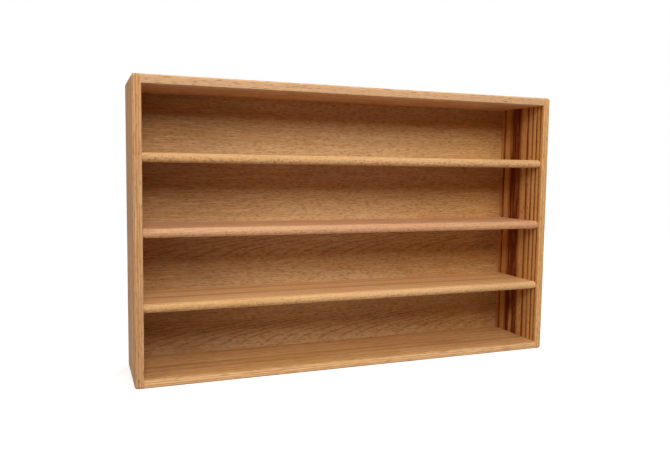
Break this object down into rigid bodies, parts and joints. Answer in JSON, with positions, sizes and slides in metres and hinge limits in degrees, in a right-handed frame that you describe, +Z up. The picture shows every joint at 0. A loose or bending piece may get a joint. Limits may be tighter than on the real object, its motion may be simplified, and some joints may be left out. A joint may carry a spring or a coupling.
{
  "type": "cd storage cabinet",
  "caption": "Wide, shallow, open-fronted oak cabinet with equal bays for rows of CD cases; it stands on a shelf or hangs on a wall by keyhole plates.",
  "frame": {"origin": "middle of the underside, on the surface the cabinet stands on", "axes": "+X to the right along the width, +Y to the rear towards the wall, +Z up; the open front faces -Y"},
  "size_m": [1.016, 0.1778, 0.6413],
  "materials": {
    "oak_board": "satin clear lacquer",
    "oak_shelf": "satin clear lacquer",
    "oak_veneer": "satin clear lacquer",
    "dowel_wood": "raw birch",
    "brad_steel": "bright drawn wire",
    "plated_steel": "zinc plate"
  },
  "bodies": {
    "root": {"left_side": "oak_board", "right_side": "oak_board", "top_panel": "oak_board", "bottom_panel": "oak_board", "shelf_lower": "oak_shelf", "shelf_middle": "oak_shelf", "shelf_upper": "oak_shelf", "back_panel": "oak_veneer", "dowel_top_left_front": "dowel_wood", "dowel_top_left_middle": "dowel_wood", "dowel_top_left_rear": "dowel_wood", "dowel_top_right_front": "dowel_wood", "dowel_top_right_middle": "dowel_wood", "dowel_top_right_rear": "dowel_wood", "dowel_bottom_left_front": "dowel_wood", "dowel_bottom_left_middle": "dowel_wood", "dowel_bottom_left_rear": "dowel_wood", "dowel_bottom_right_front": "dowel_wood", "dowel_bottom_right_middle": "dowel_wood", "dowel_bottom_right_rear": "dowel_wood", "back_panel_brads": "brad_steel", "hanger_plate_left": "plated_steel", "hanger_plate_right": "plated_steel", "hanger_screw_left_lower": "plated_steel", "hanger_screw_left_upper": "plated_steel", "hanger_screw_right_lower": "plated_steel", "hanger_screw_right_upper": "plated_steel"}
  },
  "joints": []
}
